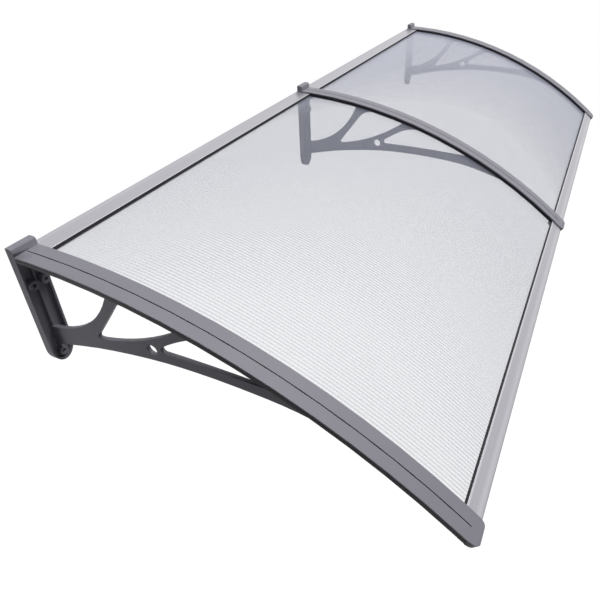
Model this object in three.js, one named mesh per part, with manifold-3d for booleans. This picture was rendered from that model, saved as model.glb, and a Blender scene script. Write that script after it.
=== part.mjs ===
// Door canopy: three moulded wall brackets carry two bowed twin-wall sheets between
// a rear rail at the wall and a front rail at the drip edge. Millimetres, +Z up.
// The wall is the plane Y = 0 and the canopy reaches out towards -Y.
import * as THREE from 'three';
import Module from 'manifold-3d';

const wasm = await Module();
wasm.setup();

// Overall layout
const PANEL_PITCH = 1000; // centre to centre of neighbouring brackets
const ARM_TOP_Z = 105.7; // top of the arm where it leaves the wall plate
const ARC_RADIUS = 1269.5; // radius of the bowed arm top
const ARC_START = 0.0285; // slope of the arm top at the wall plane, in radians
const FIT = 0.3; // clearance between pieces that slide together

// Arm section, as depths below the bowed top and half widths
const CAP_HALF = 24;
const CAP_T = 3;
const SHADOW_HALF = 22;
const SHADOW_D = 4.4;
const SKIRT_HALF = 23.6;
const SKIRT_D = 9.3;
const SKIRT_WALL = 3;
const OUTER_SKIRT_D = 10.4; // the side that takes no sheet is a little deeper
const CORE_HALF = 4;
const LEDGE_HALF = 8;
const LEDGE_T = 2.2;
const GROOVE_HALF = 0.9;
const GROOVE_D = 1.3;
const LAP = 1; // how far the parts of one moulding run into each other
const OVERCUT = 1; // how far a cutter runs past what it cuts

// Sheets, placed by their distance along the bow from the wall
const SHEET_T = 4.5;
const SHEET_SKIN = 0.7;
const SHEET_WEB = 0.8;
const SHEET_CELLS = 20;
const SHEET_START = 18;
const SHEET_LENGTH = 800;
const SHEET_END = SHEET_START + SHEET_LENGTH;
const SHEET_TOP = SKIRT_D + FIT;
const SHEET_BOTTOM = SHEET_TOP + SHEET_T;
const GROOVE_START = SHEET_START - LAP; // the groove in the cap is as long as the sheet
const GROOVE_END = SHEET_END;
const LEDGE_TOP = SHEET_BOTTOM + FIT;
const LEDGE_BOTTOM = LEDGE_TOP + LEDGE_T;

// Rails and their seals
const RAIL_TOP = CAP_T + FIT;
const RAIL_WALL = 1.8;
const RAIL_BACK = 2;
const RAIL_LIP_RISE = 2.4; // upturned edge along the wall
const RAIL_LIP_RUN = 12;
const RAIL_LIP_SAG = 0.28; // share of the rise left halfway along the run
const RAIL_FLOOR = LEDGE_TOP;
const RAIL_FLOOR_T = 1.6;
const RAIL_FLOOR_BACK = 6; // the floor ends behind the top edge of the rail
const RAIL_BOTTOM = RAIL_FLOOR + RAIL_FLOOR_T;
const REAR_RAIL_HOLD = 21.1; // how far a rail reaches over the edge of the sheet
const FRONT_RAIL_HOLD = 15;
const FRONT_RAIL_REACH = 18; // from the edge of the sheet to the outer face of the rail
const REAR_RAIL_END = SHEET_START + REAR_RAIL_HOLD;
const FRONT_RAIL_START = SHEET_END - FRONT_RAIL_HOLD;
const FRONT_RAIL_END = SHEET_END + FRONT_RAIL_REACH;
const FRONT_BEVEL_RUN = 4;
const FRONT_BEVEL_DROP = 1.6;
const FRONT_CORNER = 1.2; // extra wall inside the bevelled corner
const SEAL_W = 1; // lip that shows beside the rail
const SEAL_FOOT = 5;
const SEAL_BOTTOM = SHEET_TOP - FIT;

// Nose and screw pads of the arm
const NOSE_T = 5;
const NOSE_D = 12;
const NOSE_TOP_EASE = 4;
const NOSE_FOOT_EASE = 5;
const CHIN_RUN = 22; // closed part behind the nose, on the outer side of an end bracket
const CHIN_EASE = 4;
const NOSE_START = FRONT_RAIL_END + FIT;
const NOSE_END = NOSE_START + NOSE_T;
const CHIN_START = NOSE_END - CHIN_RUN;
// Plan-view curve of a nose corner: where it leaves the side of the arm, the height of the
// corner that it eases, and where it meets the end, all as distances back from the end
const RAIL_CORNER = { back: 14, corner: 1.5, across: 12, end: 0.3 };
const OUTER_CORNER = { back: 35, corner: 4, across: 12, end: 0.5 };
const PAD_TOP = RAIL_BOTTOM + FIT;
const PAD_T = 2.8;
const PAD_HALF = 20;
const PAD_BOTTOM = PAD_TOP + PAD_T;

// Stretch of the arm between the two rails
const MID_START = REAR_RAIL_END + FIT + SEAL_W + FIT;
const MID_END = FRONT_RAIL_START - FIT - SEAL_W - FIT;
const MID_STEPS = 12;

// Wall plate
const PLATE_HALF = CAP_HALF;
const PLATE_T = 14.4;
const PLATE_RISE = 12.8; // how far the plate stands above the arm top
const PLATE_H = 237;
const PLATE_TOP_Z = ARM_TOP_Z + PLATE_RISE;
const PLATE_BOTTOM_Z = PLATE_TOP_Z - PLATE_H;
const PLATE_FOOT_R = 34; // height of the half-oval foot
const BEVEL_RUN = 5.6; // bevel on the plate's top edge: back from its face,
const BEVEL_KNEE = 1.4; // to the knee between its two flats,
const BEVEL_FALL = 4.55; // and down its face
const POCKET_D = 8.5;
const POCKET_RIM = 4;
const POCKET_TOP_Z = ARM_TOP_Z - PAD_BOTTOM - POCKET_RIM;
const POCKET_FLOOR_Y = POCKET_D - PLATE_T;
const RIB_HALF = 2;
const RIB_T = 6;
const RIB_FOOT = 8; // the rib ends inside the rim at the foot
const RIB_FOOT_Z = PLATE_BOTTOM_Z + RIB_FOOT;
const BOLT_R = 3.6;
const BOSS_R = 8.6;
const BOSS_X = 12;
const BOSS_DROP = 59; // below the arm top
const BOSS_Z = ARM_TOP_Z - BOSS_DROP;
const BOSS_OUT = 20;
const FOOT_BOSS_R = 9;
const FOOT_BOSS_RISE = 18.2; // above the end of the plate
const FOOT_BOSS_Z = PLATE_BOTTOM_Z + FOOT_BOSS_RISE;

// Web under the arm. Its outline and its openings are given as shares of its length along
// the arm and of its depth at the wall, so it keeps its shape when the canopy grows
const WEB_HALF = CORE_HALF;
const WEB_ROOT = 5; // the web reaches through the pocket of the wall plate
const WEB_LENGTH = SHEET_LENGTH * 0.8025;
const WEB_DEPTH = PLATE_H - PLATE_RISE - PLATE_FOOT_R;
const WEB_TAIL = 18; // how far its root in the arm runs past its lower edge
const WEB_TOP_D = LEDGE_TOP;
const WINDOW_TOP_D = LEDGE_TOP + LEDGE_T / 2;
const LOWER_EDGE = [
  [0.2129, 0.8192],
  [0.4022, 0.6317],
  [0.5545, 0.4808],
  [0.705, 0.3311],
  [0.8222, 0.2136],
  [0.9411, 0.1237],
];
const PLATE_WINDOW = { end: 0.2749, strut: [0.2196, 0.4618], footDepth: 0.794 };
const MIDDLE_WINDOW = {
  start: 0.317,
  end: 0.5,
  outer: [0.3834, 0.4444],
  low: [0.211, 0.7],
  inner: [0.2618, 0.4273],
  eases: [36, 7, 15],
};
const OUTER_WINDOW = {
  start: 0.5483,
  tip: 0.8255,
  lower: [0.6226, 0.315],
  low: [0.4428, 0.4821],
  heel: [0.4378, 0.4589],
  rise: [0.4354, 0.4337],
  inner: [0.4966, 0.227],
  eases: [34, 5, 5, 4],
};
const WEB_HOLE = [0.409, 0.51];
const WEB_HOLE_R = 10;

// Self-tapping screws that hold the rails to the pads
const SCREW_X = 14;
const SCREW_R = 2;
const SCREW_HEAD_R = 4.2;
const SCREW_HEAD_H = 2.6;
const SCREW_DRIVE_R = 1.3;
const SCREW_DRIVE_D = 1.4;
const SCREW_POINT = 0.7;
const SCREW_HOLE_R = SCREW_R + FIT / 2;
const SCREW_DRILL = 12;
const REAR_SCREW_SET = 10; // from the edges of the sheet
const FRONT_SCREW_SET = 1;
const REAR_SCREW_S = SHEET_START + REAR_SCREW_SET;
const FRONT_SCREW_S = SHEET_END - FRONT_SCREW_SET;

const ascending = (a, b) => a - b;

// Closed solid from a three.js geometry
function toSolid(geometry) {
  const position = geometry.attributes.position;
  const seen = new Map();
  const points = [];
  const remap = [];
  for (let i = 0; i < position.count; i += 1) {
    const p = [position.getX(i), position.getY(i), position.getZ(i)];
    const key = p.map((v) => Math.round(v * 1e4)).join(',');
    if (!seen.has(key)) {
      seen.set(key, points.length / 3);
      points.push(...p);
    }
    remap.push(seen.get(key));
  }
  const index = geometry.index ? Array.from(geometry.index.array) : remap.map((_, i) => i);
  const corners = [];
  for (let i = 0; i < index.length; i += 3) {
    const [a, b, c] = [remap[index[i]], remap[index[i + 1]], remap[index[i + 2]]];
    if (a !== b && b !== c && c !== a) corners.push(a, b, c);
  }
  return new wasm.Manifold(
    new wasm.Mesh({
      numProp: 3,
      vertProperties: new Float32Array(points),
      triVerts: new Uint32Array(corners),
    }),
  );
}

// Drawable geometry from a closed solid
function toGeometry(solid) {
  const mesh = solid.getMesh();
  const geometry = new THREE.BufferGeometry();
  const xyz = new Float32Array(mesh.numVert * 3);
  for (let i = 0; i < mesh.numVert; i += 1) {
    for (let k = 0; k < 3; k += 1) xyz[i * 3 + k] = mesh.vertProperties[i * mesh.numProp + k];
  }
  geometry.setAttribute('position', new THREE.BufferAttribute(xyz, 3));
  geometry.setIndex(new THREE.BufferAttribute(new Uint32Array(mesh.triVerts), 1));
  geometry.computeVertexNormals();
  return geometry;
}

// One solid from several that run into each other
const joined = (solids) => solids.reduce((all, next) => all.add(next));

// Point in the side view: s runs along the bowed top from the wall, d goes below it
function onArc(s, d) {
  const angle = ARC_START + s / ARC_RADIUS;
  const y = (Math.sin(ARC_START) * ARC_RADIUS) - Math.sin(angle) * (ARC_RADIUS - d);
  const z = ARM_TOP_Z + Math.cos(angle) * (ARC_RADIUS - d) - Math.cos(ARC_START) * ARC_RADIUS;
  return new THREE.Vector2(y, z);
}

// Stations shared by every bowed piece, so that their facets nest
function stations(from, to) {
  const all = [];
  for (let i = 0; i <= MID_STEPS; i += 1) {
    all.push(MID_START + ((MID_END - MID_START) * i) / MID_STEPS);
  }
  return [from, ...all.filter((s) => s > from + 1 && s < to - 1), to];
}

// Side-view outline pushed out along X
function slab(points, x0, x1, holes = []) {
  const shape = new THREE.Shape(points);
  shape.holes = holes.map((ring) => new THREE.Path(ring));
  const geometry = new THREE.ExtrudeGeometry(shape, { depth: x1 - x0, bevelEnabled: false });
  // local x, y, depth become world Y, Z, X
  geometry.applyMatrix4(new THREE.Matrix4().set(0, 0, 1, x0, 1, 0, 0, 0, 0, 1, 0, 0, 0, 0, 0, 1));
  return toSolid(geometry);
}

// Bowed strip between two depths
function band(from, to, top, bottom, x0, x1) {
  const along = stations(from, to);
  const outline = [
    ...along.map((s) => onArc(s, top)),
    ...along.reverse().map((s) => onArc(s, bottom)),
  ];
  return slab(outline, x0, x1);
}

// Block between two corners
function box(x0, x1, y0, y1, z0, z1) {
  const geometry = new THREE.BoxGeometry(x1 - x0, y1 - y0, z1 - z0);
  geometry.translate((x0 + x1) / 2, (y0 + y1) / 2, (z0 + z1) / 2);
  return toSolid(geometry);
}

// Cylinder that stands along Y, from y0 to y1
function peg(x, z, radius, y0, y1, sides = 20) {
  const geometry = new THREE.CylinderGeometry(radius, radius, y1 - y0, sides);
  geometry.translate(x, (y0 + y1) / 2, z);
  return toSolid(geometry);
}

// Point in the side view from its distance out from the wall and below the arm top
const side = ([out, below]) => new THREE.Vector2(-out, ARM_TOP_Z - below);

// Points on the circle through three points, from the first to the last
function arcThrough(a, b, c, steps) {
  const d = 2 * (a.x * (b.y - c.y) + b.x * (c.y - a.y) + c.x * (a.y - b.y));
  const [qa, qb, qc] = [a.lengthSq(), b.lengthSq(), c.lengthSq()];
  const centre = new THREE.Vector2(
    (qa * (b.y - c.y) + qb * (c.y - a.y) + qc * (a.y - b.y)) / d,
    (qa * (c.x - b.x) + qb * (a.x - c.x) + qc * (b.x - a.x)) / d,
  );
  const radius = centre.distanceTo(a);
  const start = Math.atan2(a.y - centre.y, a.x - centre.x);
  let sweep = Math.atan2(c.y - centre.y, c.x - centre.x) - start;
  if (sweep > Math.PI) sweep -= 2 * Math.PI;
  if (sweep < -Math.PI) sweep += 2 * Math.PI;
  const points = [];
  for (let i = 0; i <= steps; i += 1) {
    const angle = start + (sweep * i) / steps;
    points.push(
      new THREE.Vector2(centre.x + radius * Math.cos(angle), centre.y + radius * Math.sin(angle)),
    );
  }
  return points;
}

// Cuts a run back by a length at its start
function trimmed(run, length) {
  let rest = length;
  for (let i = 0; i + 1 < run.length; i += 1) {
    const step = run[i].distanceTo(run[i + 1]);
    if (step > rest) return [run[i].clone().lerp(run[i + 1], rest / step), ...run.slice(i + 1)];
    rest -= step;
  }
  return run.slice(-1);
}

// Closed outline from runs that meet at corners, each corner eased by its own length
function easedOutline(runs, eases, steps = 4) {
  const count = runs.length;
  const cut = runs.map((run, i) => {
    const front = trimmed(run, eases[i]);
    return trimmed(front.reverse(), eases[(i + 1) % count]).reverse();
  });
  const outline = [];
  for (let i = 0; i < count; i += 1) {
    const corner = runs[(i + 1) % count][0];
    const next = cut[(i + 1) % count][0];
    const last = cut[i][cut[i].length - 1];
    outline.push(...cut[i]);
    const bend = new THREE.QuadraticBezierCurve(last, corner, next);
    outline.push(...bend.getPoints(steps).slice(1, -1));
  }
  return outline;
}

// Point of the web from its shares along the arm and below the arm top
const inWeb = ([along, below]) => onArc(along * WEB_LENGTH, below * WEB_DEPTH);

// Underside of the arm between two shares of the web's length, as a run of points
function underside(from, to, steps) {
  const run = [];
  for (let i = 0; i <= steps; i += 1) {
    run.push(onArc((from + ((to - from) * i) / steps) * WEB_LENGTH, WINDOW_TOP_D));
  }
  return run;
}

// Opening between the wall plate and the first strut
function windowByPlate() {
  const { end, strut, footDepth } = PLATE_WINDOW;
  const top = underside(0, end, 6);
  const foot = side([0, footDepth * WEB_DEPTH]);
  const edge = arcThrough(top[top.length - 1], inWeb(strut), foot, 12);
  return [...top, ...edge.slice(1)];
}

// Middle opening, between the two struts
function windowMiddle() {
  const { start, end, outer, low, inner, eases } = MIDDLE_WINDOW;
  const top = underside(start, end, 4);
  const bottom = inWeb(low);
  const outerEdge = arcThrough(top[top.length - 1], inWeb(outer), bottom, 10);
  const innerEdge = arcThrough(bottom, inWeb(inner), top[0], 6);
  return easedOutline([top, outerEdge, innerEdge], eases);
}

// Long outer opening that runs out to a thin tip under the arm
function windowOuter() {
  const { start, tip, lower, low, heel, rise, inner, eases } = OUTER_WINDOW;
  const top = underside(start, tip, 6);
  const lowerEdge = arcThrough(top[top.length - 1], inWeb(lower), inWeb(low), 8);
  const heelEdge = arcThrough(inWeb(low), inWeb(heel), inWeb(rise), 2);
  const innerEdge = arcThrough(inWeb(rise), inWeb(inner), top[0], 6);
  return easedOutline([top, lowerEdge, heelEdge, innerEdge], eases);
}

// Openwork plate that runs from the wall plate along under the arm
function web() {
  const foot = side([WEB_ROOT, WEB_DEPTH]);
  const tail = onArc(WEB_LENGTH, LEDGE_BOTTOM);
  const lower = new THREE.SplineCurve([foot, ...LOWER_EDGE.map(inWeb), tail]).getPoints(21);
  const upper = stations(WEB_ROOT, WEB_LENGTH + WEB_TAIL).map((s) => onArc(s, WEB_TOP_D));
  const centre = inWeb(WEB_HOLE);
  const ring = new THREE.Path().absarc(centre.x, centre.y, WEB_HOLE_R, 0, 2 * Math.PI, false);
  const hole = ring.getPoints(20).slice(0, -1);
  const plain = slab([...upper, ...lower.reverse()], -WEB_HALF, WEB_HALF, [hole]);
  const cutHalf = WEB_HALF + OVERCUT;
  const windows = [windowByPlate(), windowMiddle(), windowOuter()];
  return windows.reduce((solid, outline) => solid.subtract(slab(outline, -cutHalf, cutHalf)), plain);
}

// Bowed arm: cap, sunken shadow line, side skirts, core, sheet ledge, screw pads and nose.
// outer is -1 or 1 for the side of an end bracket that takes no sheet, and 0 for none
function arm(outer) {
  const root = PLATE_T - LAP;
  const skirtInner = SKIRT_HALF - SKIRT_WALL;
  // across the arm, out to a half width on the sides that take a sheet
  const across = (half) => [
    outer < 0 ? -CORE_HALF : -half,
    outer > 0 ? CORE_HALF : half,
  ];
  const parts = [
    band(root, NOSE_START + LAP / 2, 0, CAP_T, -CAP_HALF, CAP_HALF),
    band(root, NOSE_START + LAP / 2, CAP_T - LAP, PAD_TOP, -CORE_HALF, CORE_HALF),
    band(MID_START, MID_END, LEDGE_TOP, LEDGE_BOTTOM, ...across(LEDGE_HALF)),
    band(root, MID_START, PAD_TOP, PAD_BOTTOM, ...across(PAD_HALF)),
    band(MID_END, NOSE_START, PAD_TOP, PAD_BOTTOM, ...across(PAD_HALF)),
    band(NOSE_START - NOSE_T / 2, NOSE_START, NOSE_D - LAP, PAD_BOTTOM, -CORE_HALF, CORE_HALF),
    nose(),
  ];
  for (const sign of [-1, 1]) {
    const closed = sign === outer;
    const [from, to] = closed ? [root, CHIN_START + LAP] : [MID_START, MID_END];
    const shadow = [sign * SHADOW_HALF, sign * skirtInner].sort(ascending);
    const skirt = [sign * SKIRT_HALF, sign * skirtInner].sort(ascending);
    parts.push(band(from, to, CAP_T - LAP, SHADOW_D + LAP, ...shadow));
    parts.push(band(from, to, SHADOW_D, closed ? OUTER_SKIRT_D : SKIRT_D, ...skirt));
    if (closed) parts.push(chin(sign));
  }
  return joined(parts);
}

// Block that closes the end of the arm, its upper and lower front edges eased
function nose() {
  const corners = [
    onArc(NOSE_START, 0),
    onArc(NOSE_END, 0),
    onArc(NOSE_END, NOSE_D),
    onArc(NOSE_START, NOSE_D),
  ];
  const runs = corners.map((corner, i) => [corner, corners[(i + 1) % corners.length]]);
  return slab(easedOutline(runs, [0, NOSE_TOP_EASE, NOSE_FOOT_EASE, 0]).reverse(), -CAP_HALF, CAP_HALF);
}

// Deeper side wall behind the nose of an end bracket
function chin(sign) {
  const outline = [
    onArc(CHIN_START, CAP_T - LAP),
    onArc(CHIN_START, OUTER_SKIRT_D),
    onArc(CHIN_START + CHIN_EASE, NOSE_D),
    onArc(NOSE_START + LAP, NOSE_D),
    onArc(NOSE_START + LAP, CAP_T - LAP),
  ];
  return slab(outline, ...[sign * (CORE_HALF - LAP), sign * CAP_HALF].sort(ascending));
}

// Plan-view cutter for one corner of the nose
function noseCorner(sign, { back, corner, across, end }) {
  const ease = new THREE.QuadraticBezierCurve(
    new THREE.Vector2(across, -end),
    new THREE.Vector2(CAP_HALF, -corner),
    new THREE.Vector2(CAP_HALF, -back),
  );
  const points = [
    new THREE.Vector2(0, 0),
    ...ease.getPoints(8),
    new THREE.Vector2(CAP_HALF + OVERCUT, -back),
    new THREE.Vector2(CAP_HALF + OVERCUT, OVERCUT),
    new THREE.Vector2(0, OVERCUT),
  ].map((p) => new THREE.Vector2(sign * p.x, p.y));
  const depth = PAD_BOTTOM + 2 * CAP_T;
  const shape = new THREE.Shape(points);
  const geometry = new THREE.ExtrudeGeometry(shape, { depth, bevelEnabled: false });
  // local y goes out along the arm and depth goes down below its top
  const angle = ARC_START + NOSE_END / ARC_RADIUS;
  const [c, s] = [Math.cos(angle), Math.sin(angle)];
  const root = onArc(NOSE_END, -CAP_T);
  geometry.applyMatrix4(
    new THREE.Matrix4().set(1, 0, 0, 0, 0, -c, s, root.x, 0, -s, -c, root.y, 0, 0, 0, 1),
  );
  return toSolid(geometry);
}

// Front view of the plate: square shoulders and a half-oval foot
function plateOutline(inset, topZ, footZ) {
  const half = PLATE_HALF - inset;
  const foot = new THREE.EllipseCurve(0, footZ, half, PLATE_FOOT_R - inset, 0, -Math.PI, true);
  return [
    new THREE.Vector2(-half, topZ),
    new THREE.Vector2(half, topZ),
    ...foot.getPoints(18),
  ].reverse();
}

// Front-view outline pushed out along Y
function plateSlab(outline, y0, y1) {
  const geometry = new THREE.ExtrudeGeometry(new THREE.Shape(outline), {
    depth: y1 - y0,
    bevelEnabled: false,
  });
  // local x, y, depth become world X, Z and -Y
  geometry.applyMatrix4(new THREE.Matrix4().set(1, 0, 0, 0, 0, 0, -1, y1, 0, 1, 0, 0, 0, 0, 0, 1));
  return toSolid(geometry);
}

// Side-view wedge that takes the front edge off the top of the plate in two flats
function plateTopBevel() {
  const outline = [
    [-PLATE_T - OVERCUT, PLATE_TOP_Z + OVERCUT],
    [-PLATE_T + BEVEL_RUN, PLATE_TOP_Z + OVERCUT],
    [-PLATE_T + BEVEL_RUN, PLATE_TOP_Z],
    [-PLATE_T + BEVEL_KNEE, PLATE_TOP_Z - BEVEL_KNEE],
    [-PLATE_T, PLATE_TOP_Z - BEVEL_FALL],
    [-PLATE_T - OVERCUT, PLATE_TOP_Z - BEVEL_FALL],
  ].map(([y, z]) => new THREE.Vector2(y, z));
  return slab(outline, -PLATE_HALF - OVERCUT, PLATE_HALF + OVERCUT);
}

// Wall plate: a hollow-faced tongue with a rib down its middle and three bolt bosses
function plate() {
  const footZ = PLATE_BOTTOM_Z + PLATE_FOOT_R;
  const rim = plateOutline(POCKET_RIM, POCKET_TOP_Z, footZ);
  const pocket = plateSlab(rim, -PLATE_T - OVERCUT, POCKET_FLOOR_Y);
  const ribFront = POCKET_FLOOR_Y - RIB_T;
  const root = POCKET_FLOOR_Y + LAP;
  const added = [
    box(-RIB_HALF, RIB_HALF, ribFront, root, RIB_FOOT_Z, POCKET_TOP_Z + LAP),
    peg(0, FOOT_BOSS_Z, FOOT_BOSS_R, -PLATE_T, root),
    peg(-BOSS_X, BOSS_Z, BOSS_R, -BOSS_OUT, root),
    peg(BOSS_X, BOSS_Z, BOSS_R, -BOSS_OUT, root),
  ];
  return plateSlab(plateOutline(0, PLATE_TOP_Z, footZ), -PLATE_T, 0)
    .subtract(pocket)
    .subtract(plateTopBevel())
    .add(joined(added));
}

// Three holes for the wall bolts
function boltHoles() {
  const drill = (x, z) => peg(x, z, BOLT_R, -BOSS_OUT - OVERCUT, OVERCUT, 16);
  return joined([drill(0, FOOT_BOSS_Z), drill(-BOSS_X, BOSS_Z), drill(BOSS_X, BOSS_Z)]);
}

// Turned piece moved to a spot along the arm, its axis square to the bowed top
function squareToArm(geometry, x, s, d) {
  const at = onArc(s, d);
  geometry.applyMatrix4(new THREE.Matrix4().makeRotationX(Math.PI / 2));
  geometry.applyMatrix4(new THREE.Matrix4().makeRotationX(ARC_START + s / ARC_RADIUS));
  geometry.applyMatrix4(new THREE.Matrix4().makeTranslation(x, at.x, at.y));
  return toSolid(geometry);
}

const screwSpots = [
  { s: REAR_SCREW_S, label: 'rear' },
  { s: FRONT_SCREW_S, label: 'front' },
];

// Hole for one screw, square to the arm
function screwHole(x, s, d) {
  return squareToArm(new THREE.CylinderGeometry(SCREW_HOLE_R, SCREW_HOLE_R, SCREW_DRILL, 12), x, s, d);
}

// Whole moulding, centred on x = 0, for a middle bracket or with one side closed
function bracketSolid(outer) {
  const groove = band(GROOVE_START, GROOVE_END, -OVERCUT, GROOVE_D, -GROOVE_HALF, GROOVE_HALF);
  const railSides = [-1, 1].filter((sign) => sign !== outer);
  const pads = railSides.flatMap((sign) =>
    screwSpots.map(({ s }) => screwHole(sign * SCREW_X, s, PAD_BOTTOM)),
  );
  return joined([plate(), arm(outer), web()])
    .subtract(groove)
    .subtract(noseCorner(1, outer > 0 ? OUTER_CORNER : RAIL_CORNER))
    .subtract(noseCorner(-1, outer < 0 ? OUTER_CORNER : RAIL_CORNER))
    .subtract(boltHoles())
    .subtract(joined(pads));
}

// The pieces of one bay are drawn between x = 0 and x = PANEL_PITCH
const BAY_END = CORE_HALF + FIT;

// Holes through the floor of a rail at both ends
function railHoles(s) {
  const d = PAD_BOTTOM;
  return joined([screwHole(SCREW_X, s, d), screwHole(PANEL_PITCH - SCREW_X, s, d)]);
}

// Channel along the wall that takes the upper edge of the sheet
function rearRail() {
  const back = -FIT;
  const lowZ = onArc(0, RAIL_BOTTOM).y;
  const topZ = onArc(0, RAIL_TOP - RAIL_LIP_RISE).y;
  const flatStart = onArc(RAIL_LIP_RUN, RAIL_TOP);
  const lipMid = onArc(RAIL_LIP_RUN / 2, RAIL_TOP - RAIL_LIP_RISE * RAIL_LIP_SAG);
  const slotStart = RAIL_BACK + LAP;
  const outline = [
    new THREE.Vector2(back, lowZ),
    new THREE.Vector2(back, topZ),
    new THREE.Vector2(back - RAIL_BACK, topZ),
    lipMid,
    flatStart,
    onArc(REAR_RAIL_END, RAIL_TOP),
    onArc(REAR_RAIL_END, RAIL_TOP + RAIL_WALL),
    onArc(slotStart, RAIL_TOP + RAIL_WALL),
    onArc(slotStart, RAIL_FLOOR),
    onArc(REAR_RAIL_END - RAIL_FLOOR_BACK, RAIL_FLOOR),
    onArc(REAR_RAIL_END - RAIL_FLOOR_BACK, RAIL_BOTTOM),
  ];
  // the rail is notched around the wall plate at both ends
  const reach = PLATE_HALF + FIT;
  const notch = (x0, x1) =>
    box(x0, x1, -PLATE_T - FIT, OVERCUT, lowZ - OVERCUT, PLATE_TOP_Z + OVERCUT);
  return slab(outline.reverse(), BAY_END, PANEL_PITCH - BAY_END)
    .subtract(notch(0, reach))
    .subtract(notch(PANEL_PITCH - reach, PANEL_PITCH))
    .subtract(railHoles(REAR_SCREW_S));
}

// Channel along the drip edge, with a bevelled outer lip
function frontRail() {
  const outline = [
    onArc(FRONT_RAIL_START, RAIL_TOP),
    onArc(FRONT_RAIL_END - FRONT_BEVEL_RUN, RAIL_TOP),
    onArc(FRONT_RAIL_END, RAIL_TOP + FRONT_BEVEL_DROP),
    onArc(FRONT_RAIL_END, RAIL_BOTTOM),
    onArc(FRONT_RAIL_START + RAIL_FLOOR_BACK, RAIL_BOTTOM),
    onArc(FRONT_RAIL_START + RAIL_FLOOR_BACK, RAIL_FLOOR),
    onArc(FRONT_RAIL_END - RAIL_BACK, RAIL_FLOOR),
    onArc(FRONT_RAIL_END - RAIL_BACK, RAIL_TOP + FRONT_BEVEL_DROP + FRONT_CORNER),
    onArc(FRONT_RAIL_END - FRONT_BEVEL_RUN - FRONT_CORNER / 2, RAIL_TOP + RAIL_WALL),
    onArc(FRONT_RAIL_START, RAIL_TOP + RAIL_WALL),
  ];
  return slab(outline.reverse(), BAY_END, PANEL_PITCH - BAY_END).subtract(
    railHoles(FRONT_SCREW_S),
  );
}

// Rubber strip that closes the gap between a rail and the sheet; dir points to the sheet
function seal(railEdge, dir) {
  const near = railEdge + dir * FIT;
  const far = near + dir * SEAL_W;
  const foot = railEdge - dir * SEAL_FOOT;
  const outline = [
    onArc(near, RAIL_TOP + FIT),
    onArc(far, RAIL_TOP + FIT),
    onArc(far, SEAL_BOTTOM),
    onArc(foot, SEAL_BOTTOM),
    onArc(foot, RAIL_TOP + RAIL_WALL + FIT),
    onArc(near, RAIL_TOP + RAIL_WALL + FIT),
  ];
  return slab(dir > 0 ? outline.reverse() : outline, BAY_END, PANEL_PITCH - BAY_END);
}

// Twin-wall sheet: two skins with upright webs, cells open at both ends
function sheet() {
  const [x0, x1] = [BAY_END + FIT, PANEL_PITCH - BAY_END - FIT];
  const [from, to] = [SHEET_START - OVERCUT, SHEET_END + OVERCUT];
  const [top, bottom] = [SHEET_TOP + SHEET_SKIN, SHEET_BOTTOM - SHEET_SKIN];
  const pitch = (x1 - x0 - SHEET_WEB) / SHEET_CELLS;
  const cells = [];
  for (let i = 0; i < SHEET_CELLS; i += 1) {
    const left = x0 + SHEET_WEB + i * pitch;
    cells.push(band(from, to, top, bottom, left, left + pitch - SHEET_WEB));
  }
  return band(SHEET_START, SHEET_END, SHEET_TOP, SHEET_BOTTOM, x0, x1).subtract(joined(cells));
}

// Pan-head screw pointing up through a pad into the floor of a rail
function screwSolid(x, s) {
  const tip = PAD_BOTTOM - RAIL_FLOOR;
  const profile = [
    [0, -SCREW_HEAD_H + SCREW_DRIVE_D],
    [SCREW_DRIVE_R * 0.6, -SCREW_HEAD_H + SCREW_DRIVE_D],
    [SCREW_DRIVE_R, -SCREW_HEAD_H],
    [SCREW_HEAD_R * 0.72, -SCREW_HEAD_H],
    [SCREW_HEAD_R, -SCREW_HEAD_H * 0.45],
    [SCREW_HEAD_R, 0],
    [SCREW_R, 0],
    [SCREW_R, tip - SCREW_POINT],
    [SCREW_R * 0.6, tip],
    [0, tip],
  ].map(([r, h]) => new THREE.Vector2(r, h));
  return squareToArm(new THREE.LatheGeometry(profile, 12), x, s, PAD_BOTTOM + FIT);
}

const finishes = {
  plastic: { color: 0x73747a, roughness: 0.5, metalness: 0 },
  aluminium: { color: 0xc9cbd0, roughness: 0.35, metalness: 0.9 },
  rubber: { color: 0x17171a, roughness: 0.8, metalness: 0 },
  sheet: { color: 0xe4e8f0, roughness: 0.15, metalness: 0, transparent: true, opacity: 0.45 },
  steel: { color: 0xb4b6ba, roughness: 0.3, metalness: 1 },
};

const canopy = new THREE.Group();
canopy.name = 'door_canopy';

// Adds one solid to the canopy as a named piece, moved along X
function place(name, solid, finish, x = 0) {
  const geometry = toGeometry(solid);
  geometry.translate(x, 0, 0);
  const mesh = new THREE.Mesh(geometry, new THREE.MeshStandardMaterial(finishes[finish]));
  mesh.name = name;
  canopy.add(mesh);
}

place('bracket_left', bracketSolid(-1), 'plastic', -PANEL_PITCH);
place('bracket_middle', bracketSolid(0), 'plastic');
place('bracket_right', bracketSolid(1), 'plastic', PANEL_PITCH);

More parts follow.
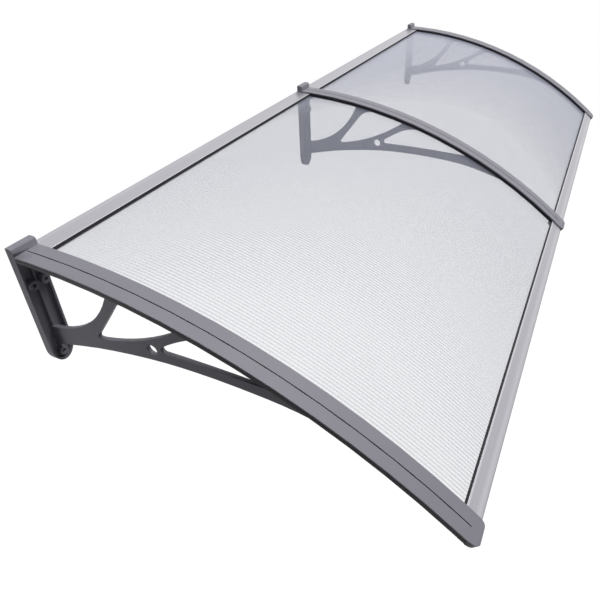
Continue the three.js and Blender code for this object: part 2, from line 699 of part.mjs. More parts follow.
const [nearEnd, farEnd] = [SCREW_X, PANEL_PITCH - SCREW_X];
const bays = [
  { label: 'left', x: -PANEL_PITCH, outer: nearEnd, inner: farEnd },
  { label: 'right', x: 0, outer: farEnd, inner: nearEnd },
];
for (const { label, x, outer, inner } of bays) {
  place(`sheet_${label}`, sheet(), 'sheet', x);
  place(`rear_rail_${label}`, rearRail(), 'aluminium', x);
  place(`front_rail_${label}`, frontRail(), 'aluminium', x);
  place(`rear_seal_${label}`, seal(REAR_RAIL_END, 1), 'rubber', x);
  place(`front_seal_${label}`, seal(FRONT_RAIL_START, -1), 'rubber', x);
  for (const spot of screwSpots) {
    place(`${spot.label}_screw_${label}_outer`, screwSolid(outer, spot.s), 'steel', x);
    place(`${spot.label}_screw_${label}_inner`, screwSolid(inner, spot.s), 'steel', x);
  }
}

export default canopy;
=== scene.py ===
# %% [markdown]
# # Door canopy
# A canopy of two bays hangs on a wall: three moulded grey brackets hold two bowed twin-wall
# sheets between a rear rail at the wall and a front rail at the drip edge.
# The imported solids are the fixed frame, and every visible piece takes its place from them. The
# wall is the plane Y = 0, the canopy reaches out towards -Y, and the camera stands in front of
# it and to its left, a little above.

# %% load the frame
import math

import bmesh
import bpy
from mathutils import Matrix, Vector


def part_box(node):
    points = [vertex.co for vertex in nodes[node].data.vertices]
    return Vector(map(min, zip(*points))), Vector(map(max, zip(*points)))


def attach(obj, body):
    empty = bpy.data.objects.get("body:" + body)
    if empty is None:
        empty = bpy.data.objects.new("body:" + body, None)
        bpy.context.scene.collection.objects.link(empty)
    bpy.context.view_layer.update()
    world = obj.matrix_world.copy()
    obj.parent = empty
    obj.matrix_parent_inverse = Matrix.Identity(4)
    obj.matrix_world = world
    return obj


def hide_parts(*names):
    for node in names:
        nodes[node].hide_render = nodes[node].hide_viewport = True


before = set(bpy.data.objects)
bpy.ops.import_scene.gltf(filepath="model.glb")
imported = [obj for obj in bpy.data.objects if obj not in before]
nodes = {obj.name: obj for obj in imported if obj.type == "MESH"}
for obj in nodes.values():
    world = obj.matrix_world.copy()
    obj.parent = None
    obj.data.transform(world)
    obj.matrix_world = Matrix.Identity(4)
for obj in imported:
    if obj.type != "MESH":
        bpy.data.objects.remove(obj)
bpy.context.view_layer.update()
MM = 0.001
print("solids:", len(nodes))

# %% [markdown]
# ## Camera
# The photograph was taken close to the left end, about 0.4 m above the canopy. A camera could
# be moved by hand until the edges agree, but rails that run two metres away from it show the
# smallest error. So its pose and focal length come from a least-squares fit of the rails, the
# seals and the arm edges to the picture, and the lens shift holds the fitted centre.
# CAMERA_TURN is the axis of the turn from world axes to camera axes, as long as its angle in
# radians. The fit counts Y down and Z forward, where Blender's camera has Y up and looks
# along -Z, which the diagonal matrix puts right.

# %% camera
IMAGE_SIZE = 600
FOCAL_PX = 555.885
CENTRE_PX = Vector((307.38, 317.14))
CAMERA_SPOT = Vector((-1.48818, -0.77151, 0.52886))
CAMERA_TURN = Vector((1.9149, -1.217, 0.5666))
SENSOR_WIDTH = 36
CLIP_NEAR = 0.02
CLIP_FAR = 200


def add_object(name, data):
    """A new object in the scene, at the origin, unturned and unscaled."""
    thing = bpy.data.objects.new(name, data)
    bpy.context.scene.collection.objects.link(thing)
    return thing


camera_data = bpy.data.cameras.new("camera")
camera_data.sensor_width = SENSOR_WIDTH
camera_data.lens = FOCAL_PX / IMAGE_SIZE * SENSOR_WIDTH
camera_data.shift_x = (IMAGE_SIZE / 2 - CENTRE_PX.x) / IMAGE_SIZE
camera_data.shift_y = (CENTRE_PX.y - IMAGE_SIZE / 2) / IMAGE_SIZE
camera_data.clip_start = CLIP_NEAR
camera_data.clip_end = CLIP_FAR
camera = add_object("camera", camera_data)
to_camera = Matrix.Rotation(CAMERA_TURN.length, 3, CAMERA_TURN.normalized())
from_camera = to_camera.transposed() @ Matrix.Diagonal((1, -1, -1))
camera.matrix_world = Matrix.Translation(CAMERA_SPOT) @ from_camera.to_4x4()
bpy.context.scene.camera = camera
print("lens", round(camera_data.lens, 2), "mm")

# %% [markdown]
# ## Node helpers
# Every finish on the canopy is a tree of shader nodes. Such a tree could be wired node by node
# each time, but short helpers for a node, a sum and a range keep each material readable. An
# effect that several finishes share, such as a grain, becomes a node group with named inputs
# and outputs, and hands back a mask or a height.

# %% node helpers
def add_node(tree, kind, **values):
    """A node with its sockets or its settings filled in."""
    node = tree.nodes.new(kind)
    for key, value in values.items():
        if key in node.inputs:
            node.inputs[key].default_value = value
        else:
            setattr(node, key, value)
    return node


def fill(tree, socket, value):
    """Link a socket to another node's output, or give it a plain value."""
    if isinstance(value, bpy.types.NodeSocket):
        tree.links.new(value, socket)
    else:
        socket.default_value = value


def math_node(tree, operation, *values, clamp=False):
    node = add_node(tree, "ShaderNodeMath", operation=operation, use_clamp=clamp)
    for socket, value in zip(node.inputs, values):
        fill(tree, socket, value)
    return node.outputs[0]


def map_range(tree, value, low, high, start=0.0, end=1.0):
    """Turns start into low and end into high, and stays between the two."""
    node = add_node(tree, "ShaderNodeMapRange")
    labels = ("Value", "To Min", "To Max", "From Min", "From Max")
    for label, content in zip(labels, (value, low, high, start, end)):
        fill(tree, node.inputs[label], content)
    return node.outputs["Result"]


def new_group(name, inputs, outputs):
    tree = bpy.data.node_groups.new(name, "ShaderNodeTree")
    for label, value in inputs.items():
        socket = tree.interface.new_socket(
            label, in_out="INPUT", socket_type="NodeSocketFloat"
        )
        socket.default_value = value
    for label in outputs:
        tree.interface.new_socket(label, in_out="OUTPUT", socket_type="NodeSocketFloat")
    enter = tree.nodes.new("NodeGroupInput")
    leave = tree.nodes.new("NodeGroupOutput")
    return tree, enter, leave


def use_group(tree, group, **values):
    node = tree.nodes.new("ShaderNodeGroup")
    node.node_tree = group
    for label, value in values.items():
        fill(tree, node.inputs[label], value)
    return node


print("helpers for nodes and groups are ready")

# %% [markdown]
# ### Colour and relief
# Colours are read off as display values from 0 to 255, and Blender wants linear light, so one
# helper holds that curve. The real finishes have grain and lines too fine to model, and a bump
# node gives their relief without a single extra face.

# %% colour and relief helpers
def colour(red, green, blue):
    """Linear colour from a 0-255 display colour, by the sRGB curve."""
    parts = [v / 255 for v in (red, green, blue)]
    linear = [v / 12.92 if v <= 0.04045 else ((v + 0.055) / 1.055) ** 2.4 for v in parts]
    return (*linear, 1.0)


def new_material(name, **settings):
    material = bpy.data.materials.new(name)
    material.use_nodes = True
    shader = material.node_tree.nodes["Principled BSDF"]
    for key, value in settings.items():
        shader.inputs[key.replace("_", " ")].default_value = value
    return material, material.node_tree, shader


def mix_colours(tree, mask, base, over):
    """The base colour, with the other one laid over it where the mask is 1."""
    node = add_node(tree, "ShaderNodeMix", data_type="RGBA")
    tree.links.new(mask, node.inputs["Factor"])
    ends = [socket for socket in node.inputs if socket.type == "RGBA"]
    fill(tree, ends[0], base)
    fill(tree, ends[1], over)
    return [socket for socket in node.outputs if socket.type == "RGBA"][0]


def add_bump(tree, shader, height, strength, distance):
    bump = add_node(tree, "ShaderNodeBump", Strength=strength, Distance=distance)
    tree.links.new(height, bump.inputs["Height"])
    tree.links.new(bump.outputs["Normal"], shader.inputs["Normal"])


print("display grey 128 is linear", round(colour(128, 128, 128)[0], 3))

# %% [markdown]
# ### Place on the bow
# Arms, rails and sheets all follow one bow, so painted shade and painted highlights lie at a
# certain distance along it and below its top. Painted textures or extra faces could mark those
# places, but a node group that turns Object coordinates into distances along, below and across
# the bow marks them on every piece at once.

# %% place on the bow
ARM_TOP_Z = 105.7 * MM  # height of the arm top at the wall
ARC_RADIUS = 1269.5 * MM
ARC_START = 0.0285  # slope of the arm top at the wall, in radians
PANEL_PITCH = 1.0  # from one bracket to the next

bow_group, enter, leave = new_group("place_on_bow", {}, ["Along", "Depth", "Across"])
where = add_node(bow_group, "ShaderNodeTexCoord").outputs["Object"]
axes = add_node(bow_group, "ShaderNodeSeparateXYZ")
bow_group.links.new(where, axes.inputs[0])
outward = math_node(bow_group, "SUBTRACT", math.sin(ARC_START) * ARC_RADIUS, axes.outputs["Y"])
centre_z = ARM_TOP_Z - math.cos(ARC_START) * ARC_RADIUS
upward = math_node(bow_group, "SUBTRACT", axes.outputs["Z"], centre_z)
squares = [math_node(bow_group, "POWER", part, 2.0) for part in (outward, upward)]
radius = math_node(bow_group, "SQRT", math_node(bow_group, "ADD", *squares))
depth = math_node(bow_group, "SUBTRACT", ARC_RADIUS, radius)
angle = math_node(bow_group, "ARCTAN2", outward, upward)
turned = math_node(bow_group, "SUBTRACT", angle, ARC_START)
along = math_node(bow_group, "MULTIPLY", turned, ARC_RADIUS)
across = math_node(bow_group, "PINGPONG", axes.outputs["X"], PANEL_PITCH / 2)
bow_group.links.new(along, leave.inputs["Along"])
bow_group.links.new(depth, leave.inputs["Depth"])
bow_group.links.new(across, leave.inputs["Across"])
print("bow radius", ARC_RADIUS, "m, centre at a height of", round(centre_z, 4), "m")

# %% [markdown]
# ### Patches of the bow
# Painted shade in a groove or a painted highlight on an edge ends at a soft line. A colour ramp
# could draw one such line, but a patch has two along the bow and often two more below it. A
# band group is 1 between two limits and fades over an edge width, and bands multiplied together
# make a patch.

# %% patches of the bow
PATCH_EDGE = 0.3 * MM

band_group, enter, leave = new_group(
    "band", {"Value": 0.0, "Low": 0.0, "High": 1.0, "Soft": PATCH_EDGE}, ["Mask"]
)
above = math_node(band_group, "SUBTRACT", enter.outputs["Value"], enter.outputs["Low"])
below = math_node(band_group, "SUBTRACT", enter.outputs["High"], enter.outputs["Value"])
inside = math_node(band_group, "MINIMUM", above, below)
mask = math_node(band_group, "DIVIDE", inside, enter.outputs["Soft"], clamp=True)
band_group.links.new(mask, leave.inputs["Mask"])


def band(tree, value, low, high, soft=PATCH_EDGE):
    """1 where a value lies between two limits."""
    node = use_group(tree, band_group, Value=value, Low=low, High=high, Soft=soft)
    return node.outputs["Mask"]


def bow_patch(tree, spot, limits, cover=1.0):
    """The cover inside all limits of a patch, and 0 outside it."""
    patch = cover
    for direction, edges in limits.items():
        mask = band(tree, spot.outputs[direction], *edges)
        patch = math_node(tree, "MULTIPLY", mask, patch)
    return patch


print("patch edges fade over", PATCH_EDGE, "m")

# %% [markdown]
# ### Fine moulded grain
# The brackets are moulded in a spark-textured tool, so the plastic has a fine pebbled grain
# and, over longer distances, slight clouding from the flow of the melt. Two noises at two
# scales give both. Rubber and plated steel take the same group at other scales.

# %% moulded grain group
grain_group, enter, leave = new_group(
    "moulded_grain", {"Grain scale": 900.0, "Cloud scale": 7.0}, ["Grain", "Cloud"]
)
where = add_node(grain_group, "ShaderNodeTexCoord").outputs["Object"]
fine = add_node(grain_group, "ShaderNodeTexNoise", Detail=3.0, Roughness=0.6)
grain_group.links.new(where, fine.inputs["Vector"])
grain_group.links.new(enter.outputs["Grain scale"], fine.inputs["Scale"])
cloud = add_node(grain_group, "ShaderNodeTexNoise", Detail=4.0, Roughness=0.55)
grain_group.links.new(where, cloud.inputs["Vector"])
grain_group.links.new(enter.outputs["Cloud scale"], cloud.inputs["Scale"])
grain_group.links.new(fine.outputs[0], leave.inputs["Grain"])
grain_group.links.new(cloud.outputs[0], leave.inputs["Cloud"])
print("group:", grain_group.name)

# %% [markdown]
# ### Drawn streaks
# Aluminium rails are pressed through a die, which leaves very fine lines along their length.
# An anisotropic shader would stretch the highlights but show no lines, so noise stretched
# along X draws the lines themselves.

# %% drawn streaks group
streak_group, enter, leave = new_group(
    "drawn_streaks", {"Across": 1500.0, "Along": 4.0}, ["Streak", "Patch"]
)
where = add_node(streak_group, "ShaderNodeTexCoord").outputs["Object"]
scales = add_node(streak_group, "ShaderNodeCombineXYZ")
streak_group.links.new(enter.outputs["Along"], scales.inputs["X"])
streak_group.links.new(enter.outputs["Across"], scales.inputs["Y"])
streak_group.links.new(enter.outputs["Across"], scales.inputs["Z"])
stretch = add_node(streak_group, "ShaderNodeVectorMath", operation="MULTIPLY")
streak_group.links.new(where, stretch.inputs[0])
streak_group.links.new(scales.outputs[0], stretch.inputs[1])
lines = add_node(streak_group, "ShaderNodeTexNoise", Scale=1.0, Detail=2.0)
streak_group.links.new(stretch.outputs[0], lines.inputs["Vector"])
patch = add_node(streak_group, "ShaderNodeTexNoise", Scale=5.0, Detail=3.0)
streak_group.links.new(where, patch.inputs["Vector"])
streak_group.links.new(lines.outputs[0], leave.inputs["Streak"])
streak_group.links.new(patch.outputs[0], leave.inputs["Patch"])
print("group:", streak_group.name)

# %% [markdown]
# ### Grey plastic
# The brackets are a cool mid grey with a satin face. Below the cap the sides of the arms and
# of the nose lie in shade and look almost black, and so does the fine groove along the cap;
# that shade is painted into the colour as a near-black. Separate pieces could carry those
# colours, but each bracket is one moulding, so patches of the bow darken one material.
# Distances along, across and below the bow come as low, high and the width over which the edge
# fades.

# %% grey plastic
PLASTIC_DARK = colour(131, 130, 138)
PLASTIC_LIGHT = colour(143, 142, 151)
# Painted shade: a near-black laid over the arm sides, the nose sides and the cap groove, where
# shade falls.
SHADE_PAINT = colour(22, 21, 25)
SHADE_PAINT_COVER = 0.9
NO_LOWER_LIMIT = -1.0
ARM_SIDE = {"Along": (15.5 * MM, 836 * MM), "Depth": (3.1 * MM, 12.4 * MM)}
NOSE_SIDE = {
    "Along": (835 * MM, 850 * MM),
    "Across": (23.4 * MM, 30 * MM),
    "Depth": (3.1 * MM, 20 * MM),
}
CAP_GROOVE = {
    "Along": (16 * MM, 822 * MM),
    "Across": (NO_LOWER_LIMIT, 1.4 * MM, 0.1 * MM),
    "Depth": (0.3 * MM, 3 * MM, 0.2 * MM),
}

plastic, tree, shader = new_material(
    "grey_plastic", Roughness=0.5, Specular_IOR_Level=0.18
)
effect = use_group(tree, grain_group)
tone = mix_colours(tree, effect.outputs["Cloud"], PLASTIC_DARK, PLASTIC_LIGHT)
spot = use_group(tree, bow_group)
# Painted shade: these patches darken the arm sides, nose sides and cap groove towards
# near-black.
painted_shade = bow_patch(tree, spot, ARM_SIDE, SHADE_PAINT_COVER)
for place in (NOSE_SIDE, CAP_GROOVE):
    painted_shade = math_node(tree, "MAXIMUM", painted_shade, bow_patch(tree, spot, place, SHADE_PAINT_COVER))
tone = mix_colours(tree, painted_shade, tone, SHADE_PAINT)
tree.links.new(tone, shader.inputs["Base Color"])
gloss = map_range(tree, effect.outputs["Cloud"], 0.42, 0.58)
tree.links.new(gloss, shader.inputs["Roughness"])
add_bump(tree, shader, effect.outputs["Grain"], strength=0.18, distance=0.25 * MM)
print("material:", plastic.name)

# %% [markdown]
# ### Satin aluminium
# The rails are light satin aluminium. A painted highlight brightens their raised edges and the
# bend above the drip edge, and painted shade darkens the face below it, which turns from the
# sky.
# Fully metallic rails would mirror the white background and wash out, so the shader is only
# partly metallic, and patches of the bow paint this light and shade, which the shape alone
# doesn't show.

# %% satin aluminium
ALUMINIUM_DARK = colour(167, 166, 173)
ALUMINIUM_LIGHT = colour(185, 184, 190)
# A painted highlight for the raised edges and the bend, and painted shade for the face below the
# bend.
PAINTED_HIGHLIGHT = colour(222, 222, 228)
PAINTED_RAIL_SHADE = colour(92, 91, 98)
WALL_RAIL_EDGE = {"Along": (36.9 * MM, 39.4 * MM)}
DRIP_RAIL_EDGE = {"Along": (802 * MM, 807 * MM, 1.5 * MM)}
DRIP_RAIL_BEND = {"Along": (819 * MM, 834 * MM, 7 * MM)}
DRIP_RAIL_FACE = {"Along": (833.8 * MM, 860 * MM, 0.8 * MM)}

aluminium, tree, shader = new_material("satin_aluminium", Metallic=0.7, Roughness=0.36)
effect = use_group(tree, streak_group)
tone = mix_colours(tree, effect.outputs["Streak"], ALUMINIUM_DARK, ALUMINIUM_LIGHT)
spot = use_group(tree, bow_group)
# Painted light: highlights on the raised edges and on the bend above the drip edge, and shade on
# the face below it.
wall_edge_highlight = bow_patch(tree, spot, WALL_RAIL_EDGE)
drip_edge_highlight = bow_patch(tree, spot, DRIP_RAIL_EDGE, cover=0.6)
edges = math_node(tree, "MAXIMUM", wall_edge_highlight, drip_edge_highlight)
tone = mix_colours(tree, edges, tone, PAINTED_HIGHLIGHT)
tone = mix_colours(tree, bow_patch(tree, spot, DRIP_RAIL_BEND, cover=0.27), tone, PAINTED_HIGHLIGHT)
tone = mix_colours(tree, bow_patch(tree, spot, DRIP_RAIL_FACE, cover=0.75), tone, PAINTED_RAIL_SHADE)
tree.links.new(tone, shader.inputs["Base Color"])
gloss = map_range(tree, effect.outputs["Patch"], 0.28, 0.42)
tree.links.new(gloss, shader.inputs["Roughness"])
add_bump(tree, shader, effect.outputs["Streak"], strength=0.10, distance=0.1 * MM)
print("material:", aluminium.name)

# %% [markdown]
# ### Black rubber and plated steel
# The seals are matt black rubber, and the screws are zinc-plated steel. Plain black and plain
# metal would look painted on, so the moulded grain gives rubber a dusty, uneven face at a
# coarser scale, and the steel the crystals of its plating at a finer one.

# %% black rubber and plated steel
RUBBER_DARK = colour(16, 16, 20)
RUBBER_LIGHT = colour(34, 34, 39)
STEEL_DARK = colour(168, 170, 174)
STEEL_LIGHT = colour(208, 209, 212)

rubber, tree, shader = new_material("black_rubber", Roughness=0.75)
effect = use_group(tree, grain_group, **{"Grain scale": 500.0, "Cloud scale": 12.0})
tone = mix_colours(tree, effect.outputs["Cloud"], RUBBER_DARK, RUBBER_LIGHT)
tree.links.new(tone, shader.inputs["Base Color"])
gloss = map_range(tree, effect.outputs["Grain"], 0.62, 0.85)
tree.links.new(gloss, shader.inputs["Roughness"])
add_bump(tree, shader, effect.outputs["Grain"], strength=0.25, distance=0.3 * MM)

steel, tree, shader = new_material("plated_steel", Metallic=1.0, Roughness=0.3)
effect = use_group(tree, grain_group, **{"Grain scale": 1800.0, "Cloud scale": 160.0})
tone = mix_colours(tree, effect.outputs["Cloud"], STEEL_DARK, STEEL_LIGHT)
tree.links.new(tone, shader.inputs["Base Color"])
add_bump(tree, shader, effect.outputs["Grain"], strength=0.12, distance=0.1 * MM)
print("materials:", rubber.name, steel.name)

# %% [markdown]
# ### Flute lines
# A twin-wall sheet is two thin walls with upright webs between them, and its face dips a
# little between the webs, which draws fine lines from the wall to the front. Their distance
# was measured in the photograph through the fitted camera. Real dips would take about a
# hundred thousand faces, so a wave along X gives a mask for the lines and a height for the
# dips.

# %% flute lines group
SHEET_PITCH = 6.87 * MM

flute_group, enter, leave = new_group(
    "flute_lines", {"Pitch": SHEET_PITCH}, ["Line", "Dip", "Cloud"]
)
where = add_node(flute_group, "ShaderNodeTexCoord").outputs["Object"]
axes = add_node(flute_group, "ShaderNodeSeparateXYZ")
flute_group.links.new(where, axes.inputs[0])
turns = math_node(flute_group, "DIVIDE", axes.outputs["X"], enter.outputs["Pitch"])
phase = math_node(flute_group, "MULTIPLY", math_node(flute_group, "FRACT", turns), math.tau)
wave = math_node(flute_group, "COSINE", phase)
line = map_range(flute_group, wave, 0.0, 1.0, start=-1.0, end=1.0)
cloud = add_node(flute_group, "ShaderNodeTexNoise", Scale=3.0, Detail=3.0)
flute_group.links.new(where, cloud.inputs["Vector"])
flute_group.links.new(line, leave.inputs["Line"])
flute_group.links.new(wave, leave.inputs["Dip"])
flute_group.links.new(cloud.outputs[0], leave.inputs["Cloud"])
print("flute pitch", SHEET_PITCH, "m")

# %% [markdown]
# ### Milky walls
# Each wall lets part of the light through and scatters the rest. Seen at a slant, a ray
# crosses more plastic and more webs, so the sheet looks hazier there and the brackets behind
# it fainter. Glass filled with scattering fog would do this too, but it renders slowly and
# stays noisy. A wall that is partly see-through, and less so the more it turns away, looks the
# same. Its colour doesn't change with the view, only how much of it shows.
# The lines are clear where the sheet is seen steeply and close up into an even haze at a
# slant. Two lined walls one behind the other would draw false bands, so the lower one has
# hardly any lines. Each range gives the value when seen steeply, the value at a slant, and
# the two Facing values, 0 square on and 1 edge on, between which it changes.

# %% milky walls
MILKY_DARK = colour(150, 153, 169)
MILKY_LIGHT = colour(158, 161, 177)
LINE_CONTRAST = (1.7, 0.12, 0.35, 0.45)
HAZE_OF_WALLS = (0.158, 0.28, 0.32, 0.6)
HAZE_OF_WEBS = (0.0, 0.42, 0.67, 0.78)


def sheet_wall(name, ridge, share):
    """Milky wall of the sheet: how strongly its flute lines show, and its share of the haze."""
    material, tree, shader = new_material(name, Specular_IOR_Level=0.35)
    effect = use_group(tree, flute_group)
    tone = mix_colours(tree, effect.outputs["Cloud"], MILKY_DARK, MILKY_LIGHT)
    tree.links.new(tone, shader.inputs["Base Color"])
    facing = add_node(tree, "ShaderNodeLayerWeight", Blend=0.5).outputs["Facing"]
    contrast = math_node(tree, "MULTIPLY", map_range(tree, facing, *LINE_CONTRAST), ridge)
    swing = math_node(tree, "SUBTRACT", effect.outputs["Line"], 0.5)
    line = math_node(tree, "MULTIPLY_ADD", swing, contrast, 0.5)
    haze = math_node(
        tree,
        "ADD",
        map_range(tree, facing, *HAZE_OF_WALLS),
        map_range(tree, facing, *HAZE_OF_WEBS),
    )
    veil = math_node(tree, "MULTIPLY", haze, map_range(tree, line, 0.0, 2.0 * share))
    tree.links.new(veil, shader.inputs["Alpha"])
    gloss = map_range(tree, effect.outputs["Cloud"], 0.18, 0.28)
    tree.links.new(gloss, shader.inputs["Roughness"])
    add_bump(tree, shader, effect.outputs["Dip"], strength=0.05, distance=0.4 * MM)
    return material


top_wall = sheet_wall("milky_top_wall", ridge=1.0, share=1.25)
under_wall = sheet_wall("milky_under_wall", ridge=0.15, share=0.75)
print("materials:", top_wall.name, under_wall.name)

# %% [markdown]
# ### Milky webs
# The webs are thin and are seen one behind the other by the dozen. They could share the
# material of the walls, but so strong a haze would add up to a solid grey, so they have their
# own, with only a faint one.

# %% milky webs
WEB_DARK = colour(160, 162, 176)
WEB_LIGHT = colour(178, 180, 194)

web_plastic, tree, shader = new_material(
    "milky_web", Roughness=0.3, Specular_IOR_Level=0.2
)
effect = use_group(tree, flute_group)
tone = mix_colours(tree, effect.outputs["Cloud"], WEB_DARK, WEB_LIGHT)
tree.links.new(tone, shader.inputs["Base Color"])
veil = map_range(tree, effect.outputs["Cloud"], 0.06, 0.1)
tree.links.new(veil, shader.inputs["Alpha"])
print("material:", web_plastic.name)

# %% [markdown]
# ## Rounded copies of the rigid pieces
# Moulded brackets, rails and rubber seals have no knife edges. They could be modelled
# again from nothing, but the solids have the true shape already. So each piece is a copy of
# its solid: the doubled points of the loose triangles are merged, flat faces are joined up,
# and a small bevel runs along every edge and catches the light.

# %% rounded copies
MERGE_DISTANCE = 1e-6
FLAT_ANGLE = math.radians(0.2)
SHARP_ANGLE = math.radians(35)
PLASTIC_EDGE = 0.7 * MM
RAIL_EDGE = 0.35 * MM
SEAL_EDGE = 0.4 * MM
EDGE_STEPS = 2


def rounded_copy(node_name, piece_name, material, width):
    """A bevelled copy of a solid that stands for it."""
    mesh = nodes[node_name].data.copy()
    mesh.name = piece_name
    work = bmesh.new()
    work.from_mesh(mesh)
    bmesh.ops.remove_doubles(work, verts=work.verts, dist=MERGE_DISTANCE)
    bmesh.ops.dissolve_limit(
        work, angle_limit=FLAT_ANGLE, verts=work.verts, edges=work.edges
    )
    bmesh.ops.recalc_face_normals(work, faces=work.faces)
    work.to_mesh(mesh)
    work.free()
    mesh.materials.clear()
    mesh.materials.append(material)
    mesh.shade_smooth()
    mesh.set_sharp_from_angle(angle=SHARP_ANGLE)
    piece = add_object(piece_name, mesh)
    bevel = piece.modifiers.new("edge_bevel", "BEVEL")
    bevel.width = width
    bevel.segments = EDGE_STEPS
    bevel.limit_method = "ANGLE"
    bevel.angle_limit = SHARP_ANGLE
    bevel.use_clamp_overlap = True
    bevel.harden_normals = True
    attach(piece, "root")
    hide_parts(node_name)
    print(piece_name, "faces before its bevel:", len(mesh.polygons))


for side in ("left", "middle", "right"):
    rounded_copy(f"bracket_{side}", f"bracket_body_{side}", plastic, PLASTIC_EDGE)
for side in ("left", "right"):
    rounded_copy(f"rear_rail_{side}", f"wall_rail_{side}", aluminium, RAIL_EDGE)
    rounded_copy(f"front_rail_{side}", f"drip_rail_{side}", aluminium, RAIL_EDGE)
    rounded_copy(f"rear_seal_{side}", f"wall_seal_{side}", rubber, SEAL_EDGE)
    rounded_copy(f"front_seal_{side}", f"drip_seal_{side}", rubber, SEAL_EDGE)

# %% [markdown]
# ## Bowed walls by spinning
# A real sheet is extruded flat and springs into the bow, so its section is the same all the
# way from the wall to the front. A flat sheet could be bent with a modifier, but then it meets
# the arms only by trial. Here the section is drawn once at the wall end and spun about the
# centre of the bow, which keeps it on the curve of the arms and inside the box of its solid.

# %% bowed walls
SHEET_TOP = 9.6 * MM  # depth of the upper wall below the arm top
SHEET_BOTTOM = 14.1 * MM
SHEET_START = 18 * MM  # distances along the bow
SHEET_END = 818 * MM
BOW_STEPS = 28


def on_arc(along, depth):
    """Side-view point: along the bowed top from the wall, and below it."""
    angle = ARC_START + along / ARC_RADIUS
    y = math.sin(ARC_START) * ARC_RADIUS - math.sin(angle) * (ARC_RADIUS - depth)
    z = ARM_TOP_Z + math.cos(angle) * (ARC_RADIUS - depth) - math.cos(ARC_START) * ARC_RADIUS
    return y, z


def spin_walls(work, section, outward, material_index):
    """Spin straight edges of the section along the bow, with faces turned to one side."""
    known = set(work.faces)
    geometry = []
    for ends in section:
        verts = [work.verts.new((x, *on_arc(SHEET_START, depth))) for x, depth in ends]
        geometry += [*verts, work.edges.new(verts)]
    bmesh.ops.spin(
        work,
        geom=geometry,
        cent=(0, *on_arc(0, ARC_RADIUS)),
        axis=(1, 0, 0),
        angle=(SHEET_END - SHEET_START) / ARC_RADIUS,
        steps=BOW_STEPS,
    )
    for face in set(work.faces) - known:
        face.normal_update()
        if face.normal.dot(outward) < 0:
            face.normal_flip()
        face.material_index = material_index


print("sheet runs", round(SHEET_END - SHEET_START, 4), "m along the bow")

# %% [markdown]
# ## Twin-wall sheets
# Each bay holds one sheet: an upper wall, a lower wall, and webs about 7 mm apart between
# them, with one more web to close each side. Walls and webs with a thickness could make the
# flutes, but at this pitch they would fill the scene with faces nobody sees. So each wall and
# each web is a single surface, as thin as the real plastic looks.

# %% twin-wall sheets
SHEET_FINISHES = (top_wall, under_wall, web_plastic)
TOP_FINISH, UNDER_FINISH, WEB_FINISH = range(len(SHEET_FINISHES))
UP = Vector((0, 0, 1))
RIGHT = Vector((1, 0, 0))


def web_places(low, high):
    """A web under each flute line, and one at each side of the sheet."""
    first = math.ceil(low / SHEET_PITCH)
    last = math.floor(high / SHEET_PITCH)
    return [low, *(SHEET_PITCH * i for i in range(first, last + 1)), high]


def build_sheet(side):
    low, high = (corner.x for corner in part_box(f"sheet_{side}"))
    webs = [((x, SHEET_TOP), (x, SHEET_BOTTOM)) for x in web_places(low, high)]
    work = bmesh.new()
    spin_walls(work, [((low, SHEET_TOP), (high, SHEET_TOP))], UP, TOP_FINISH)
    spin_walls(work, [((low, SHEET_BOTTOM), (high, SHEET_BOTTOM))], -UP, UNDER_FINISH)
    spin_walls(work, webs[:1], -RIGHT, WEB_FINISH)
    spin_walls(work, webs[1:], RIGHT, WEB_FINISH)
    mesh = bpy.data.meshes.new(f"fluted_sheet_{side}")
    work.to_mesh(mesh)
    work.free()
    for material in SHEET_FINISHES:
        mesh.materials.append(material)
    mesh.shade_smooth()
    piece = add_object(f"fluted_sheet_{side}", mesh)
    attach(piece, "root")
    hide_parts(f"sheet_{side}")
    print(piece.name, "webs", len(webs), "faces", len(mesh.polygons))


for side in ("left", "right"):
    build_sheet(side)

# %% [markdown]
# ## Screws
# Eight small screws tie the rail ends to the arms from below. A copy with bevels would gain
# nothing at their size, so they keep their solids and only get the plated finish, in the
# material slot that the solid already has.

# %% screws
screws = [node for name, node in nodes.items() if "screw" in name]
for screw in screws:
    screw.material_slots[0].material = steel
print("plated screws:", len(screws))

# %% [markdown]
# ## Floor and sky
# The photograph's background is pure white. More light would bleach the canopy before it
# whitened the floor, so floor and sky show white only to rays that look at them, straight,
# mirrored or through the sheets. To the canopy they are a grey floor two metres down, at the
# foot of a door, and a dim sky.

# %% floor and sky
FLOOR_Z = -2.1
FLOOR_HALF = 30.0
FLOOR_GREY = (0.16, 0.16, 0.16, 1)
FLOOR_GLOW = 0.93
DIM_SKY = (0.09, 0.091, 0.095, 1)
WHITE = (1, 1, 1, 1)


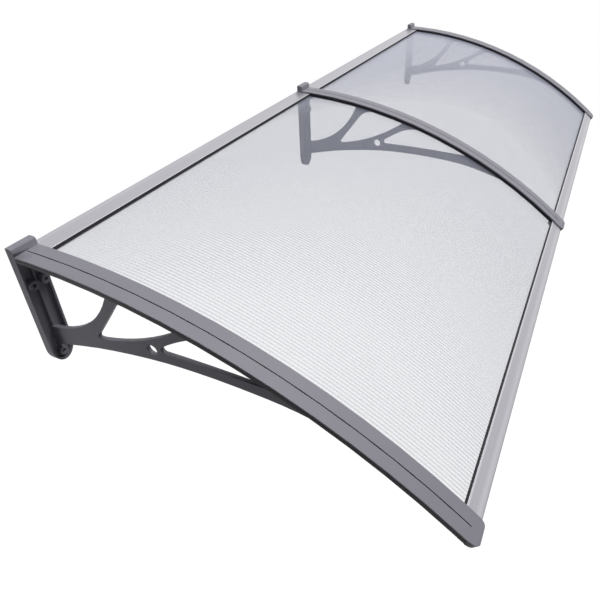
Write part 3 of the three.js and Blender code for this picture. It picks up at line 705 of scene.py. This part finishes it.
def seen_mask(tree):
    """1 for rays that show the background, 0 for rays that light the object."""
    rays = add_node(tree, "ShaderNodeLightPath")
    camera_or_gloss = math_node(
        tree, "MAXIMUM", rays.outputs["Is Camera Ray"], rays.outputs["Is Glossy Ray"]
    )
    return math_node(tree, "MAXIMUM", camera_or_gloss, rays.outputs["Is Transmission Ray"])


floor_mesh = bpy.data.meshes.new("floor")
work = bmesh.new()
bmesh.ops.create_grid(
    work,
    x_segments=1,
    y_segments=1,
    size=FLOOR_HALF,
    matrix=Matrix.Translation((0, 0, FLOOR_Z)),
)
work.to_mesh(floor_mesh)
work.free()
floor = add_object("floor", floor_mesh)
floor_paint, tree, shader = new_material("floor_paint", Roughness=0.9)
shader.inputs["Base Color"].default_value = FLOOR_GREY
shader.inputs["Emission Color"].default_value = WHITE
glow = math_node(tree, "MULTIPLY", seen_mask(tree), FLOOR_GLOW)
tree.links.new(glow, shader.inputs["Emission Strength"])
floor_mesh.materials.append(floor_paint)

world = bpy.data.worlds.new("studio")
bpy.context.scene.world = world
world.use_nodes = True
tree = world.node_tree
background = tree.nodes["Background"]
tone = mix_colours(tree, seen_mask(tree), DIM_SKY, WHITE)
tree.links.new(tone, background.inputs["Color"])
background.inputs["Strength"].default_value = 1.0
print("floor", 2 * FLOOR_HALF, "m wide at a height of", FLOOR_Z, "m")

# %% [markdown]
# ## Lamps
# In the photograph the top faces are bright and even, and the sides of the brackets dark. A
# sun would cast hard shadows through the webs, so a large soft lamp hangs above and in front.
# A small weak one beyond the left end, level with the wall, lifts the inside of the near wall
# plate, as the light thrown back by a pale wall does.

# %% lamps
def area_light(name, spot, target, size, watts):
    """A square lamp at a spot, turned to a target."""
    data = bpy.data.lights.new(name, "AREA")
    data.shape = "SQUARE"
    data.size = size
    data.energy = watts
    lamp = add_object(name, data)
    lamp.location = spot
    aim = Vector(target) - Vector(spot)
    lamp.rotation_mode = "QUATERNION"
    lamp.rotation_quaternion = aim.to_track_quat("-Z", "Y")
    print("lamp", name, watts, "W")


area_light("overhead", spot=(0.8, -1.7, 5.0), target=(0, -0.4, 0), size=3.0, watts=315)
area_light(
    "wall_fill", spot=(-1.5, 0.3, -0.2), target=(-1.0, -0.08, -0.05), size=0.3, watts=0.65
)
bpy.context.scene.view_settings.view_transform = "Standard"
